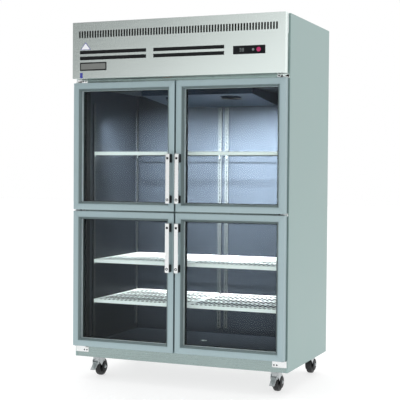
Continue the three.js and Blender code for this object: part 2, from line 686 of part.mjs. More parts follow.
function compressorBody() {
  const { radius, height } = COMPRESSOR;
  const bottom = MACHINE_DECK_Z + 14;
  const profile = [
    [0, 0],
    [radius * 0.82, 0],
    [radius * 0.96, height * 0.08],
    [radius, height * 0.2],
    [radius, height * 0.45],
    [radius * 1.05, height * 0.46],
    [radius * 1.05, height * 0.5],
    [radius, height * 0.51],
    [radius * 0.98, height * 0.72],
    [radius * 0.86, height * 0.87],
    [radius * 0.55, height * 0.97],
    [0, height],
  ].map(([r, z]) => new THREE.Vector2(r, z));
  const pot = new THREE.LatheGeometry(profile, 24).rotateX(Math.PI / 2).translate(0, 0, bottom + 3);
  const plate = block([-105, 105], [-80, 80], [bottom, bottom + 5]);
  const feet = [-90, 90].flatMap((x) =>
    [-65, 65].map((y) => bar("z", 13, [MACHINE_DECK_Z + GAP, bottom + 1], [x, y, 0], 16)),
  );
  const terminals = block([radius - 20, radius + 25], [-35, 35], [bottom + 60, bottom + 130]);
  return join(pot, plate, ...feet, terminals);
}

// Electrical box with the power cord's gland, which shows through the back panel.
function controlBox() {
  const body = block(CONTROL_BOX.x, CONTROL_BOX.y, [MACHINE_DECK_Z + GAP, CONTROL_BOX.z[1]]);
  const centre = [GLAND.x, 0, GLAND.z];
  const gland = bar("y", GLAND.radius, [CONTROL_BOX.y[1] - 1, BACK_Y], centre, 20);
  const bore = bar("y", GLAND.bore, [CONTROL_BOX.y[1] - 2, BACK_Y + 5], centre, 16);
  return cut(join(body, gland), bore);
}

add("condenser_coil", condenserCoil(), "coil");
add("condenser_shroud", condenserShroud(), "plainSteel");
add("condenser_fan", fan(CONDENSER_FAN), "blackPlastic").position.set(
  condenserCentre[0],
  condenserFanY,
  condenserCentre[2],
);
add("compressor", compressorBody(), "blackPaint").position.set(COMPRESSOR.x, COMPRESSOR.y, 0);
add("control_box", controlBox(), "plainSteel");

// ---------------------------------------------------------------- evaporator
function evaporatorCoil() {
  const { x, y, z, plate, plateProud } = EVAPORATOR;
  const endPlates = Object.values(SIDES).map((side) =>
    block(bothSides(side, x - 2, x + plate), grow(y, plateProud), grow(z, plateProud - 2)),
  );
  return join(block([-x, x], y, z), ...endPlates);
}

// A sloping tray under the plenum, open at the top, with two fan openings in its floor and a strap
// that carries both motors.
function evaporatorCover() {
  const { x, y, frontBottom, rearBottom } = COVER;
  const top = CEILING_Z - 2 * GAP;
  const wedge = (inset, rise) =>
    slab(
      [
        [y[0] + inset, top + rise],
        [y[0] + inset, frontBottom + inset],
        [y[1] - inset, rearBottom + inset],
        [y[1] - inset, top + rise],
      ],
      [-x + inset, x - inset],
    );
  const { y: fanY, z: fanZ, radius } = EVAPORATOR_FAN;
  const places = Object.values(SIDES).map((side) => [side * EVAPORATOR_FAN.x, fanY, 0]);
  const fanHoles = places.map((at) => bar("z", radius + 4, [rearBottom, fanZ - 2], at, 32));
  const strapZ = [fanZ + 13, fanZ + 13 + EVAPORATOR_MOTOR.strap];
  const strap = block([-x + 1, x - 1], grow([fanY, fanY], EVAPORATOR_MOTOR.strapHalf), strapZ);
  const motorZ = [strapZ[0], strapZ[0] + EVAPORATOR_MOTOR.length];
  const motors = places.map((at) => bar("z", EVAPORATOR_MOTOR.radius, motorZ, at, 20));
  return join(cut(wedge(0, 0), wedge(SKIN, 5), ...fanHoles), strap, ...motors);
}

add("evaporator_coil", evaporatorCoil(), "coil");
add("evaporator_cover", evaporatorCover(), "linerSteel");
for (const [sideName, side] of Object.entries(SIDES)) {
  const blades = fan(EVAPORATOR_FAN).rotateX(Math.PI / 2);
  const place = [side * EVAPORATOR_FAN.x, EVAPORATOR_FAN.y, EVAPORATOR_FAN.z];
  add(`evaporator_fan_${sideName}`, blades, "blackPlastic").position.set(...place);
}

export default group;
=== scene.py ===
# Looks of a two-section reach-in refrigerator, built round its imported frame.
# Shapes are worked out in millimetres in the frame's own axes and written in metres. The camera,
# the stage and the lamps are in metres from the start.
import math

import bmesh
import bpy
from mathutils import Matrix, Vector


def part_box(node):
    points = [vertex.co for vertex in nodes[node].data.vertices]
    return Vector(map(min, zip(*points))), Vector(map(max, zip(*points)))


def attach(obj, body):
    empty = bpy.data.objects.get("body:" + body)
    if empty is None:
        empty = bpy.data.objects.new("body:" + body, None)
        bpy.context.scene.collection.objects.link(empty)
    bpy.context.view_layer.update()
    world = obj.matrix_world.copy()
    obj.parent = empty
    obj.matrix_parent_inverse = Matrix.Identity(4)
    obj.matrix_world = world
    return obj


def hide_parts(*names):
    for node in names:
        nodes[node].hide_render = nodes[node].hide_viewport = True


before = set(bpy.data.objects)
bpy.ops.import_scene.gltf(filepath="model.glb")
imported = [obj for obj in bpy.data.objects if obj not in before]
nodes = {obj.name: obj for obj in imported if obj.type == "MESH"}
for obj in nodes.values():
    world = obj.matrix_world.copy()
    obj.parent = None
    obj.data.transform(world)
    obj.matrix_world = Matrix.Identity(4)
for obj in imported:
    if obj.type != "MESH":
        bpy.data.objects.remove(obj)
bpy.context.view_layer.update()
scene = bpy.context.scene

MM = 0.001
SIDES = {"left": -1, "right": 1}
DOORS = [f"{row}_{side}" for row in ("upper", "lower") for side in SIDES]
CASTERS = [f"{end}_{side}" for end in ("front", "rear") for side in SIDES]


def box_of(node):
    """The x, y and z spans of a CAD node, in millimetres."""
    low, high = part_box(node)
    return [(low[axis] / MM, high[axis] / MM) for axis in range(3)]


# ---------------------------------------------------------------- camera
EYE = Vector((2.267, -5.486, 1.175))
TURN = math.radians(22.51)
TILT = math.radians(-1.56)
ROLL = math.radians(0.42)
LENS = 93.38
SENSOR = 36
SIGHT = 60


def make_camera():
    """The one camera, standing to the right of the doors a little above their middle."""
    data = bpy.data.cameras.new("camera")
    data.lens = LENS
    data.sensor_width = SENSOR
    data.clip_end = SIGHT
    camera = bpy.data.objects.new("camera", data)
    scene.collection.objects.link(camera)
    turn = Matrix.Rotation(TURN, 4, "Z") @ Matrix.Rotation(math.pi / 2 + TILT, 4, "X")
    camera.matrix_world = Matrix.Translation(EYE) @ turn @ Matrix.Rotation(ROLL, 4, "Z")
    scene.camera = camera


make_camera()
scene.view_settings.view_transform = "Standard"

# ---------------------------------------------------------------- shapes
# A shape is a list of points and a list of faces that index them.
PLANES = {"x": (1, 2), "y": (0, 2), "z": (0, 1)}  # the two axes across each axis
TIP = 0.02  # a turned body closes on a ring of this radius
MOST_OF_HALF = 0.49  # the share of an edge that one eased corner may take
BEVEL_ANGLE = math.radians(40)
SHARP_ANGLE = math.radians(35)


def merged(shapes):
    """Several shapes as one list of points and one of faces."""
    points, faces = [], []
    for shape_points, shape_faces in shapes:
        base = len(points)
        points += shape_points
        faces += [tuple(base + index for index in face) for face in shape_faces]
    return points, faces


def block(xs, ys, zs):
    """A box between two values on each axis, given in any order."""
    xs, ys, zs = sorted(xs), sorted(ys), sorted(zs)
    points = [(x, y, z) for z in zs for y in ys for x in xs]
    faces = [(0, 2, 3, 1), (4, 5, 7, 6), (0, 1, 5, 4), (2, 6, 7, 3), (0, 4, 6, 2), (1, 3, 7, 5)]
    return points, faces


def loft(rings, closed=False):
    """A skin over rings of equally many points, capped at both ends unless it closes on itself."""
    size, count = len(rings[0]), len(rings)
    points = [tuple(point) for ring in rings for point in ring]
    faces = []
    for near in range(count if closed else count - 1):
        far = (near + 1) % count
        for step in range(size):
            after = (step + 1) % size
            base, top = near * size, far * size
            faces.append((base + step, base + after, top + after, top + step))
    if not closed:
        faces.append(tuple(reversed(range(size))))
        faces.append(tuple(range((count - 1) * size, count * size)))
    return points, faces


def circle(axis, radius, centre, sides):
    """The corners of a regular polygon across an axis."""
    across, up = PLANES[axis]
    points = []
    for step in range(sides):
        angle = 2 * math.pi * step / sides
        point = list(centre)
        point[across] += radius * math.cos(angle)
        point[up] += radius * math.sin(angle)
        points.append(tuple(point))
    return points


def turned(axis, profile, centre, sides=24, closed=False):
    """A body of revolution from (radius, distance along the axis) points."""
    along = "xyz".index(axis)
    rings = []
    for radius, distance in profile:
        at = list(centre)
        at[along] += distance
        rings.append(circle(axis, max(radius, TIP), at, sides))
    return loft(rings, closed)


def rod(axis, radius, span, centre, sides=16, edge=0.0):
    """A round bar between two coordinates on its axis, with chamfered ends if an edge is given."""
    at = list(centre)
    at["xyz".index(axis)] = 0
    low, high = sorted(span)
    if not edge:
        return turned(axis, [(radius, low), (radius, high)], at, sides)
    inner = radius - edge
    profile = [(inner, low), (radius, low + edge), (radius, high - edge), (inner, high)]
    return turned(axis, profile, at, sides)


def pipe(axis, outer, inner, span, centre, sides=24):
    """A ring or sleeve with an outer and an inner radius."""
    at = list(centre)
    at["xyz".index(axis)] = 0
    low, high = span
    return turned(axis, [(inner, low), (outer, low), (outer, high), (inner, high)], at, sides, True)


def prism(axis, outline, span):
    """An outline in the plane across an axis, extruded along it."""
    across, up = PLANES[axis]
    rings = []
    for distance in span:
        ring = []
        for u, v in outline:
            point = [distance] * 3
            point[across] = u
            point[up] = v
            ring.append(tuple(point))
        rings.append(ring)
    return loft(rings)


def rounded(points, radius, closed=True, steps=4):
    """The same outline or path with its corners eased."""
    eased = []
    count = len(points)
    for index, point in enumerate(points):
        here = Vector(point)
        if not closed and index in (0, count - 1):
            eased.append(tuple(here))
            continue
        before = Vector(points[index - 1]) - here
        after = Vector(points[(index + 1) % count]) - here
        reach = min(radius, before.length * MOST_OF_HALF, after.length * MOST_OF_HALF)
        start = here + before.normalized() * reach
        end = here + after.normalized() * reach
        for step in range(steps + 1):
            t = step / steps
            eased.append(tuple(start * (1 - t) ** 2 + here * 2 * t * (1 - t) + end * t * t))
    return eased


def rectangle(us, vs, radius=0.0, steps=4):
    """An outline of four corners, eased if a radius is given."""
    (u0, u1), (v0, v1) = sorted(us), sorted(vs)
    corners = [(u0, v0), (u1, v0), (u1, v1), (u0, v1)]
    return rounded(corners, radius, steps=steps) if radius else corners


def tube(path, radius, sides=10, closed=False):
    """A round tube along a path, its rings carried round the bends without twisting."""
    path = [Vector(point) for point in path]
    count = len(path)
    rings = []
    normal = None
    for index, here in enumerate(path):
        before = path[index - 1] if closed or index else here
        after = path[(index + 1) % count] if closed or index < count - 1 else here
        ahead = (after - before).normalized()
        if normal is None:
            normal = ahead.orthogonal().normalized()
        normal = (normal - ahead * normal.dot(ahead)).normalized()
        side = ahead.cross(normal)
        ring = []
        for step in range(sides):
            angle = 2 * math.pi * step / sides
            ring.append(here + (normal * math.cos(angle) + side * math.sin(angle)) * radius)
        rings.append(ring)
    return loft(rings, closed)


def mitred(section, xs, front, zs, seam=0.0):
    """Four lengths of one section round a rectangle; its points are (inward, depth behind front)."""
    (x0, x1), (z0, z1) = sorted(xs), sorted(zs)
    corners = [(x0, z0, 1, 1), (x1, z0, -1, 1), (x1, z1, -1, -1), (x0, z1, 1, -1)]
    runs = [(1, 0), (0, 1), (-1, 0), (0, -1)]
    shapes = []
    for index, (run_x, run_z) in enumerate(runs):
        ends = []
        for (x, z, in_x, in_z), shift in ((corners[index], seam), (corners[(index + 1) % 4], -seam)):
            start_x, start_z = x + run_x * shift, z + run_z * shift
            ends.append([(start_x + in_x * u, front + v, start_z + in_z * u) for u, v in section])
        shapes.append(loft(ends))
    return merged(shapes)


def add_bevel(piece, width):
    """Eased edges of a width in millimetres, with flat faces shaded flat."""
    bevel = piece.modifiers.new("edges", "BEVEL")
    bevel.width = width * MM
    bevel.segments = 2
    bevel.limit_method = "ANGLE"
    bevel.angle_limit = BEVEL_ANGLE
    bevel.harden_normals = True


def make(name, shapes, material, body, replaces=(), bevel=0.0):
    """One visible piece of closed shapes, riding on a body."""
    points, faces = merged(shapes)
    mesh = bpy.data.meshes.new(name)
    mesh.from_pydata([[c * MM for c in point] for point in points], [], faces)
    work = bmesh.new()
    work.from_mesh(mesh)
    bmesh.ops.recalc_face_normals(work, faces=work.faces)
    work.to_mesh(mesh)
    work.free()
    mesh.materials.append(material)
    mesh.shade_smooth()
    piece = bpy.data.objects.new(name, mesh)
    scene.collection.objects.link(piece)
    if bevel:
        add_bevel(piece, bevel)
    else:
        mesh.set_sharp_from_angle(angle=SHARP_ANGLE)
        weighted = piece.modifiers.new("normals", "WEIGHTED_NORMAL")
        weighted.keep_sharp = True
    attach(piece, body)
    if replaces:
        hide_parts(*replaces)


# ---------------------------------------------------------------- materials
BROAD_SCALE = 4
BROAD_SHARE = 0.45  # how much of the broad noise goes into the fine one
NOISE_LOW, NOISE_HIGH = 0.3, 0.7  # where most of a noise lies
BUMP_DEPTH = 0.0004  # metres
EVEN = (1, 1, 1)
UPRIGHT = (1, 1, 0.03)  # grain drawn out along Z
LEVEL = (0.03, 1, 1)  # grain drawn out along X
DULL = {"Specular_IOR_Level": 0.15}  # for blacks and dim rooms that mirror little


def connect(tree, out, into):
    tree.links.new(out, into)


def surface(name, colour, roughness, metallic=0.0, stretch=EVEN, grain=300, tone=0.05,
            uneven=0.06, relief=0.1, **sockets):
    """A shader with a fine grain in tone, roughness and relief over broad, faint unevenness."""
    made = bpy.data.materials.new(name)
    made.use_nodes = True
    tree = made.node_tree
    shader = tree.nodes["Principled BSDF"]
    shader.inputs["Metallic"].default_value = metallic
    for socket, value in sockets.items():
        shader.inputs[socket.replace("_", " ")].default_value = value
    place = tree.nodes.new("ShaderNodeTexCoord")
    mapping = tree.nodes.new("ShaderNodeMapping")
    mapping.inputs["Scale"].default_value = stretch
    connect(tree, place.outputs["Object"], mapping.inputs["Vector"])
    fine = tree.nodes.new("ShaderNodeTexNoise")
    fine.inputs["Scale"].default_value = grain
    fine.inputs["Detail"].default_value = 3
    connect(tree, mapping.outputs["Vector"], fine.inputs["Vector"])
    wide = tree.nodes.new("ShaderNodeTexNoise")
    wide.inputs["Scale"].default_value = BROAD_SCALE
    wide.inputs["Detail"].default_value = 2
    connect(tree, place.outputs["Object"], wide.inputs["Vector"])
    blend = tree.nodes.new("ShaderNodeMix")
    blend.inputs["Factor"].default_value = BROAD_SHARE
    connect(tree, fine.outputs["Fac"], blend.inputs["A"])
    connect(tree, wide.outputs["Fac"], blend.inputs["B"])
    ramp = tree.nodes.new("ShaderNodeValToRGB")
    dark, light = ramp.color_ramp.elements
    dark.position, light.position = NOISE_LOW, NOISE_HIGH
    dark.color = [c * (1 - tone) for c in colour] + [1]
    light.color = [min(1, c * (1 + tone)) for c in colour] + [1]
    connect(tree, blend.outputs["Result"], ramp.inputs["Fac"])
    connect(tree, ramp.outputs["Color"], shader.inputs["Base Color"])
    spread = tree.nodes.new("ShaderNodeMapRange")
    spread.inputs["From Min"].default_value = NOISE_LOW
    spread.inputs["From Max"].default_value = NOISE_HIGH
    spread.inputs["To Min"].default_value = roughness - uneven
    spread.inputs["To Max"].default_value = min(1, roughness + uneven)
    connect(tree, blend.outputs["Result"], spread.inputs["Value"])
    connect(tree, spread.outputs["Result"], shader.inputs["Roughness"])
    bump = tree.nodes.new("ShaderNodeBump")
    bump.inputs["Strength"].default_value = relief
    bump.inputs["Distance"].default_value = BUMP_DEPTH
    connect(tree, fine.outputs["Fac"], bump.inputs["Height"])
    connect(tree, bump.outputs["Normal"], shader.inputs["Normal"])
    return made


GLASS_SHEEN = 0.12  # share of the full mirror reflection that a coated pane keeps
GLASS_INDEX = 1.45
GLASS_ROUGHNESS = 0.03
SMEAR_SCALE = 3
CLEAR_TINTS = ((0.955, 0.98, 0.975, 1), (0.975, 0.99, 0.985, 1))


def clear_glass():
    """Thin clear panes: straight through, with a mirror of the room that grows at a low angle."""
    made = bpy.data.materials.new("door_glass")
    made.use_nodes = True
    tree = made.node_tree
    tree.nodes.remove(tree.nodes["Principled BSDF"])
    through = tree.nodes.new("ShaderNodeBsdfTransparent")
    gloss = tree.nodes.new("ShaderNodeBsdfGlossy")
    gloss.inputs["Roughness"].default_value = GLASS_ROUGHNESS
    smear = tree.nodes.new("ShaderNodeTexNoise")
    smear.inputs["Scale"].default_value = SMEAR_SCALE
    tint = tree.nodes.new("ShaderNodeValToRGB")
    for stop, colour in zip(tint.color_ramp.elements, CLEAR_TINTS):
        stop.color = colour
    fresnel = tree.nodes.new("ShaderNodeFresnel")
    fresnel.inputs["IOR"].default_value = GLASS_INDEX
    coating = tree.nodes.new("ShaderNodeMath")
    coating.operation = "MULTIPLY"
    coating.inputs[1].default_value = GLASS_SHEEN
    mix = tree.nodes.new("ShaderNodeMixShader")
    connect(tree, smear.outputs["Fac"], tint.inputs["Fac"])
    connect(tree, tint.outputs["Color"], through.inputs["Color"])
    connect(tree, fresnel.outputs["Fac"], coating.inputs[0])
    connect(tree, coating.outputs["Value"], mix.inputs["Fac"])
    connect(tree, through.outputs["BSDF"], mix.inputs[1])
    connect(tree, gloss.outputs["BSDF"], mix.inputs[2])
    connect(tree, mix.outputs["Shader"], tree.nodes["Material Output"].inputs["Surface"])
    return made


# In order: colour, roughness, metallic, stretch and scale of the grain, then how far the tone and
# the roughness vary and how strong the relief is.
cabinet_steel = surface("cabinet_steel", (0.335, 0.450, 0.435), 0.42, 0.7, UPRIGHT, 420, 0.05)
frame_steel = surface("frame_steel", (0.325, 0.405, 0.395), 0.26, 0.85, LEVEL, 420, 0.05)
panel_steel = surface("panel_steel", (0.880, 0.970, 0.940), 0.21, 0.95, LEVEL, 420, 0.025, 0.015, 0.015)
galvanised = surface("galvanised", (0.40, 0.43, 0.43), 0.46, 0.85, EVEN, 45, 0.16, 0.1, 0.05)
# The liner's steel is given a near-black colour: painted shade for the dim rooms behind the glass, not the
# steel's own tone.
liner_steel = surface("liner_steel", (0.034, 0.041, 0.054), 0.38, 0.55, UPRIGHT, 300, 0.06, **DULL)
# The evaporator cover's dark navy colour is painted shade under the ceiling, not the steel's own tone.
cover_painted_shade = surface("cover_painted_shade", (0.030, 0.045, 0.075), 0.34, 0.60, LEVEL, 300, 0.06, **DULL)
aluminium = surface("door_aluminium", (0.385, 0.495, 0.520), 0.40, 0.6, UPRIGHT, 300, 0.04)
# The glazing bead is the doors' aluminium in a darker tone: painted shade on its sloping face.
bead_painted_shade = surface("bead_painted_shade", (0.170, 0.225, 0.230), 0.46, 0.4, UPRIGHT, 300, 0.05)
# The spacer is made much paler than its metal so that it reads as a lit line inside its shaded recess:
# painted light.
spacer_painted_light = surface("spacer_painted_light", (0.74, 0.80, 0.82), 0.40, 0.20, UPRIGHT, 500, 0.06)
standard_steel = surface("standard_steel", (0.075, 0.082, 0.088), 0.42, 0.5, UPRIGHT, 300, 0.06)
chrome = surface("polished_metal", (0.82, 0.84, 0.84), 0.14, 1.0, UPRIGHT, 260, 0.03, 0.05, 0.03)
screw_metal = surface("screw_metal", (0.06, 0.07, 0.08), 0.38, 0.8, EVEN, 700, 0.2, 0.1, 0.1)
zinc = surface("caster_zinc", (0.52, 0.55, 0.56), 0.36, 0.85, EVEN, 160, 0.12, 0.1, 0.08)
copper = surface("copper", (0.60, 0.28, 0.16), 0.34, 0.95, EVEN, 60, 0.18, 0.12, 0.04)
fin_metal = surface("coil_fins", (0.48, 0.51, 0.52), 0.42, 0.85, EVEN, 200, 0.12, 0.1, 0.05)
foam = surface("insulation_foam", (0.66, 0.55, 0.30), 0.92, 0.0, EVEN, 220, 0.18, 0.05, 0.5)
rubber = surface("gasket_rubber", (0.010, 0.011, 0.013), 0.7, 0.0, EVEN, 500, 0.3, 0.1, 0.2, **DULL)
tyre = surface("caster_tyre", (0.008, 0.009, 0.010), 0.48, 0.0, EVEN, 420, 0.3, 0.1, 0.25)
black_plastic = surface("black_plastic", (0.006, 0.007, 0.009), 0.36, 0.0, EVEN, 900, 0.3, 0.08, 0.2, **DULL)
black_paint = surface("black_paint", (0.006, 0.007, 0.008), 0.46, 0.0, EVEN, 260, 0.3, 0.1, 0.25, **DULL)
# The shelf coating carries a faint glow of its own: painted light that brightens its fronts in the shaded
# rooms.
glowing_white_coat = surface("shelf_coating", (0.90, 0.92, 0.92), 0.42, 0.0, EVEN, 500, 0.03, 0.08, 0.15,
                     Emission_Color=(0.97, 1, 1, 1), Emission_Strength=0.22)
red_cap = surface("red_button", (0.44, 0.02, 0.12), 0.26, 0.0, EVEN, 300, 0.08, 0.06, 0.05)
grey_cap = surface("grey_button", (0.20, 0.22, 0.23), 0.46, 0.0, EVEN, 600, 0.1, 0.06, 0.15)
label_white = surface("label_white", (0.80, 0.81, 0.84), 0.40, 0.0, EVEN, 500, 0.03, 0.05, 0.03)
label_silver = surface("label_silver", (0.20, 0.21, 0.20), 0.40, 0.4, LEVEL, 600, 0.06, 0.08, 0.05)
label_blue = surface("label_blue", (0.04, 0.05, 0.30), 0.36, 0.0, EVEN, 500, 0.08, 0.05, 0.03)
digit_grey = surface("digit_grey", (0.30, 0.34, 0.34), 0.4, 0.0, EVEN, 800, 0.1, 0.05, 0.03)
dark_mesh = surface("filter_mesh", (0.004, 0.005, 0.005), 0.9, 0.0, EVEN, 500, 0.4, 0.1, 0.5, **DULL)
lamp_cover = surface("lamp_cover", (0.30, 0.33, 0.36), 0.5, 0.0, EVEN, 400, 0.03, 0.05, 0.03,
                     Emission_Color=(0.92, 0.97, 1, 1), Emission_Strength=0.12)
glass = clear_glass()


WELD_REACH = 1e-5  # metres
FLAT_ANGLE = math.radians(1)


def refinish(node, material, bevel=0.0):
    """A CAD node that keeps its shape gets its material, and eased edges where they show."""
    piece = nodes[node]
    piece.data.materials.clear()
    piece.data.materials.append(material)
    if bevel:
        weld = piece.modifiers.new("weld", "WELD")
        weld.merge_threshold = WELD_REACH
        flat = piece.modifiers.new("flat", "DECIMATE")
        flat.decimate_type = "DISSOLVE"
        flat.angle_limit = FLAT_ANGLE
        add_bevel(piece, bevel)
        piece.data.shade_smooth()


# ---------------------------------------------------------------- fasteners
def pan_screw(centre, radius, axis="y", outward=-1, height=2.2):
    """A domed screw head with a dimple, standing outward from a face."""
    shares = [(1, 0), (1, 0.35), (0.86, 0.75), (0.5, 1), (0.2, 0.7)]  # of the radius and the height
    profile = [(radius * out, outward * height * up) for out, up in shares]
    return turned(axis, profile, centre, 16)


def hex_head(centre, across, axis, height, outward):
    """A chamfered hexagon and the washer under it, standing outward from a face."""
    radius = across / 2 / math.cos(math.pi / 6)
    washer_radius, washer_thick = radius * 1.25, 1
    profile = [(radius, 0), (radius, height * 0.8), (radius * 0.88, height)]
    nut = turned(axis, [(r, outward * (h + washer_thick)) for r, h in profile], centre, 6)
    washer = turned(axis, [(washer_radius, 0), (washer_radius, outward * washer_thick)], centre, 20)
    return [nut, washer]


# ---------------------------------------------------------------- cabinet
SKIN = 1.5
LINER = 1.2
STANDARD_WIDTH = 22
STANDARD_DEPTH = 7
STANDARD_Z = (230, 1560)
STANDARD_INSETS = (95, 32)  # from the front frame and from the back wall
STANDARD_FACE = 1
SLOT_PITCH = 25
SLOT_HALF = 3
SLOT_LAND = 11  # metal between one slot and the next
OPENING_X = (36, 566)
OPENING_Z = {"upper": (985, 1632), "lower": (205, 925)}
BREAKER_SECTION = [(-9, 0), (1.8, 0), (1.8, 42), (0.1, 42), (0.1, 0.9), (-9, 0.9)]
LAMP_X = (70, 40)  # from the middle of the cabinet, and from the room's wall
LAMP_SET_BACK = 30
LAMP_WIDTH = 26
DRAIN_Y = 60
DRAIN_BARS = (-12, -6, 0, 6, 12)
BACK_SCREW_INSETS = (12, 14)  # from the panel's upright and level edges
BACK_SCREW_STEPS = (6, 8)  # between corners, across and up
RATING_PLATE_X = (250, 390)
RATING_PLATE_Z = (1500, 1590)

cabinet_x, cabinet_y, cabinet_z = box_of("right_side_panel")
half_width = cabinet_x[1]
face_y, back_y = cabinet_y
liner_x, liner_y, liner_z = box_of("inner_liner")
room_x = liner_x[1] - LINER
room_back = liner_y[1] - LINER
room_floor = liner_z[0] + LINER
room_ceiling = liner_z[1] - LINER
post_back = box_of("face_frame")[1][1]
front_standard_y = face_y + STANDARD_INSETS[0]
rear_standard_y = room_back - STANDARD_INSETS[1]


def cabinet_shell():
    """The cabinet's CAD pieces keep their shapes and get their finishes."""
    for side in SIDES:
        refinish(f"{side}_side_panel", cabinet_steel)
    refinish("back_panel", galvanised)
    refinish("base_panel", galvanised)
    refinish("foam_insulation", foam)
    refinish("inner_liner", liner_steel)
    refinish("face_frame", frame_steel, 1.2)
    refinish("evaporator_cover", cover_painted_shade)


def standard(at, facing):
    """The slotted face of a shelf standard, and a black strip behind it as painted shade in its slots: at is
    (x, y) of its bar.
    """
    x, y = at
    toward_x, toward_y = facing
    low, high = STANDARD_Z
    half = STANDARD_WIDTH / 2 + 0.3

    def strip(across, rise, zs):
        if toward_x:
            return block((x, x + toward_x * rise), (y + across[0], y + across[1]), zs)
        return block((x + across[0], x + across[1]), (y, y + toward_y * rise), zs)

    slot = (-SLOT_HALF, SLOT_HALF)
    shapes = [strip((-half, -SLOT_HALF), STANDARD_FACE, (low, high)),
              strip((SLOT_HALF, half), STANDARD_FACE, (low, high))]
    for step in range(int((high - low) / SLOT_PITCH) + 1):
        start = low + step * SLOT_PITCH
        shapes.append(strip(slot, STANDARD_FACE, (start, min(start + SLOT_LAND, high))))
    return shapes, strip(slot, 0.2, (low, high))


def standards():
    """Slotted faces of all eight standards, and black strips that paint the shade in their slots."""
    faces, slot_shades = [], []
    for side in SIDES.values():
        places = [((side * (room_x - STANDARD_DEPTH), y), (-side, 0))
                  for y in (front_standard_y, rear_standard_y)]
        places.append(((side * STANDARD_WIDTH, room_back - STANDARD_DEPTH), (0, -1)))
        places.append(((side * STANDARD_WIDTH, post_back), (0, 1)))
        for at, facing in places:
            made, slot_shade = standard(at, facing)
            faces += made
            slot_shades.append(slot_shade)
    make("shelf_standards", faces, standard_steel, "cabinet")
    make("standard_slot_shade", slot_shades, black_paint, "cabinet")


def breaker_strips():
    """Black strips that line each doorway, from a narrow lip on the face to the liner."""
    rings = []
    for side in SIDES.values():
        xs = [side * x for x in OPENING_X]
        for zs in OPENING_Z.values():
            rings.append(mitred(BREAKER_SECTION, xs, face_y - 1, zs))
    make("breaker_strips", rings, rubber, "cabinet")


def interior_lamps():
    """A lamp bar under the ceiling behind the header of each section: a channel and its diffuser."""
    channels, covers = [], []
    ys = (face_y + LAMP_SET_BACK, face_y + LAMP_SET_BACK + LAMP_WIDTH)
    for side in SIDES.values():
        xs = sorted((side * LAMP_X[0], side * (room_x - LAMP_X[1])))
        channels.append(block(xs, ys, (room_ceiling - 9, room_ceiling)))
        outline = rectangle((ys[0] + 3, ys[1] - 3), (room_ceiling - 16, room_ceiling - 8), 3)
        covers.append(prism("x", outline, (xs[0] + 6, xs[1] - 6)))
    make("lamp_channels", channels, aluminium, "cabinet", bevel=0.6)
    make("lamp_covers", covers, lamp_cover, "cabinet")


def floor_drain():
    """The drain in the middle of the liner floor: a ring with bars across it."""
    drain = [pipe("z", 26, 19, (room_floor + 0.2, room_floor + 2.2), (0, DRAIN_Y, 0), 32)]
    for across in DRAIN_BARS:
        drain.append(rod("x", 1.2, (-18, 18), (0, DRAIN_Y + across, room_floor + 1.2), 8))
    make("floor_drain", drain, chrome, "cabinet")


def back_details():
    """Screws round the back panel, and a blank rating plate."""
    inset_x, inset_z = BACK_SCREW_INSETS
    x_edge = half_width - inset_x
    z_edges = (cabinet_z[0] + inset_z, cabinet_z[1] - inset_z)
    steps_across, steps_up = BACK_SCREW_STEPS
    places = []
    for index in range(steps_up + 1):
        z = z_edges[0] + (z_edges[1] - z_edges[0]) * index / steps_up
        places += [(side * x_edge, back_y, z) for side in SIDES.values()]
    for index in range(1, steps_across):
        x = -x_edge + 2 * x_edge * index / steps_across
        places += [(x, back_y, z) for z in z_edges]
    screws = [pan_screw(place, 4.2, "y", 1, 1.4) for place in places]
    make("back_screws", screws, zinc, "cabinet")
    plate = prism("y", rectangle(RATING_PLATE_X, RATING_PLATE_Z, 6), (back_y, back_y + 0.8))
    make("rating_plate", [plate], label_silver, "cabinet")


cabinet_shell()
standards()
breaker_strips()
interior_lamps()
floor_drain()
back_details()

# ---------------------------------------------------------------- shelves
WIRE = 1.9
CROSS_WIRE = 2.4
RIM_WIRE = 3.4
RIM_BEND = 14
SHELF_THICK = 8
WIRE_PITCH = 25
CROSS_SHARES = (0.14, 0.38, 0.62, 0.86)  # where the cross wires lie, as shares of the depth


def shelf(side, level_index):
    """Coated wires front to back on cross wires, inside a heavier rim with eased corners."""
    node = f"{side}_shelf_{level_index}"
    (x0, x1), (y0, y1), (z0, z1) = box_of(node)
    inner_x = (x0 + RIM_WIRE, x1 - RIM_WIRE)
    inner_y = (y0 + RIM_WIRE, y1 - RIM_WIRE)
    path = [(x, y, z1 - SHELF_THICK / 2) for x, y in rectangle(inner_x, inner_y, RIM_BEND, 5)]
    shapes = [tube(path, RIM_WIRE, 10, True)]
    count = round((x1 - x0 - 4 * RIM_WIRE) / WIRE_PITCH)
    for index in range(1, count):
        x = x0 + (x1 - x0) * index / count
        shapes.append(rod("y", WIRE, inner_y, (x, 0, z1 - WIRE - 0.1), 8))
    for share in CROSS_SHARES:
        at = (0, y0 + (y1 - y0) * share, z1 - SHELF_THICK + CROSS_WIRE)
        shapes.append(rod("x", CROSS_WIRE, inner_x, at, 8))
    lip = rectangle((y0 + 0.3, y0 + 3.6), (z0 + 0.2, z1 - 0.2), 1.4)
    shapes.append(prism("x", lip, (x0 + 6, x1 - 6)))
    # The coating's glow is painted light.
    make(f"{node}_wires", shapes, glowing_white_coat, "cabinet", [node])


def hook(at, into, top):
    """A clip's outline: a plate on its standard, with a tongue reaching into the room under a shelf."""
    tongue, root = at + into * 16, at + into * 4
    return [(at, top - 22), (at, top - 1), (tongue, top - 1), (tongue, top - 4), (root, top - 5)]


